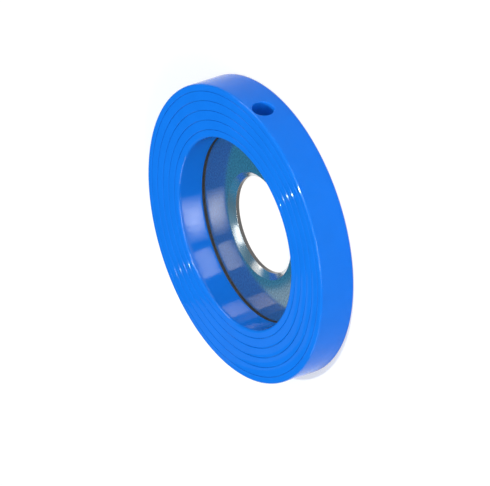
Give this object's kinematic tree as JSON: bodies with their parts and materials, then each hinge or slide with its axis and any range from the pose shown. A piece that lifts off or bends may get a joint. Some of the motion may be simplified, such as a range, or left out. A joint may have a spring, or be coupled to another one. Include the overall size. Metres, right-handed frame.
{
  "type": "orifice plate",
  "caption": "Bevelled orifice plate seated on a gasket in the rear rebate of a coated carrier ring with concentric gasket grooves and a radial pressure tap, for clamping between pipe flanges.",
  "frame": {"origin": "centre of the back (upstream) face, where the ring and the plate lie on a surface", "axes": "+Z along the pipe axis from the back face to the grooved front (downstream) face, +X along the pressure tap"},
  "size_m": [0.162, 0.162, 0.0206],
  "materials": {
    "ring_coating": "satin blue epoxy coating over steel",
    "plate_metal": "turned stainless steel, bare",
    "gasket_rubber": "matte black rubber"
  },
  "bodies": {
    "root": {"carrier_ring": "ring_coating", "orifice_plate": "plate_metal", "gasket": "gasket_rubber"}
  },
  "joints": []
}
